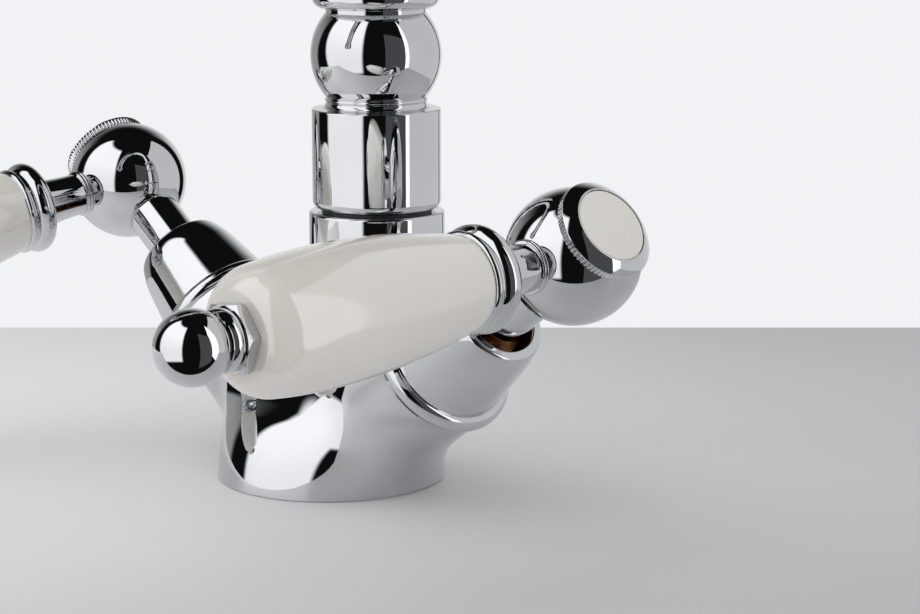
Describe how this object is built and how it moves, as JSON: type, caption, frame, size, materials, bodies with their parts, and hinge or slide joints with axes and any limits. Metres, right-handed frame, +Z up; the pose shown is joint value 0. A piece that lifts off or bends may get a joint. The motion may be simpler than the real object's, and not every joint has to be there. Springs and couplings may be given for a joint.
{
  "type": "basin mixer tap",
  "caption": "Deck-mounted basin mixer with a swivelling swan-neck spout and porcelain lever handles on sloping arms.",
  "frame": {"origin": "centre of the round foot, on the deck", "axes": "+Z up from the deck, -Y to the front where the levers and the spout point, +X to the cold side"},
  "size_m": [0.1827, 0.1385, 0.1947],
  "materials": {
    "chrome": "polished plating",
    "porcelain": "gloss glaze, warm white",
    "brass": "turned, dull",
    "disc_ceramic": "lapped",
    "rubber": "matt",
    "steel": "bright",
    "dark_plastic": "matt",
    "pale_plastic": "moulded"
  },
  "bodies": {
    "mixer": {"mixer_body": "chrome", "base_gasket": "rubber", "glide_ring": "dark_plastic", "retaining_screw": "steel", "cold_valve_cover": "chrome", "cold_headwork": "brass", "cold_fixed_disc": "disc_ceramic", "cold_seat_seal": "rubber", "hot_valve_cover": "chrome", "hot_headwork": "brass", "hot_fixed_disc": "disc_ceramic", "hot_seat_seal": "rubber"},
    "cold_lever": {"cold_spindle": "brass", "cold_moving_disc": "disc_ceramic", "cold_spindle_seal": "rubber", "cold_shank": "chrome", "cold_ball_hub": "chrome", "cold_fixing_screw": "steel", "cold_index_cap": "chrome", "cold_index_disc": "porcelain", "cold_lever_neck": "chrome", "cold_ferrule": "chrome", "cold_lever_rod": "steel", "cold_grip": "porcelain", "cold_end_nut": "chrome", "cold_finial": "chrome"},
    "hot_lever": {"hot_spindle": "brass", "hot_moving_disc": "disc_ceramic", "hot_spindle_seal": "rubber", "hot_shank": "chrome", "hot_ball_hub": "chrome", "hot_fixing_screw": "steel", "hot_index_cap": "chrome", "hot_index_disc": "porcelain", "hot_lever_neck": "chrome", "hot_ferrule": "chrome", "hot_lever_rod": "steel", "hot_grip": "porcelain", "hot_end_nut": "chrome", "hot_finial": "chrome"},
    "spout": {"spout_spigot": "brass", "spigot_seal_lower": "rubber", "spigot_seal_upper": "rubber", "spout_column": "chrome", "spout_ring": "chrome", "spout_tube": "chrome", "aerator_housing": "chrome", "aerator_insert": "pale_plastic", "aerator_seal": "rubber"}
  },
  "joints": [
    {"name": "cold_lever_turn", "type": "hinge", "parent": "mixer", "child": "cold_lever", "pos_m": [0.0733, 0, 0.0575], "axis": [-0.809, 0, -0.5878], "range_deg": [0, 90]},
    {"name": "hot_lever_turn", "type": "hinge", "parent": "mixer", "child": "hot_lever", "pos_m": [-0.0733, 0, 0.0575], "axis": [-0.809, 0, 0.5878], "range_deg": [0, 90]},
    {"name": "spout_swivel", "type": "hinge", "parent": "mixer", "child": "spout", "pos_m": [0, 0.0138, 0.0576], "axis": [0, 0, 1], "range_deg": [-75, 75]}
  ]
}
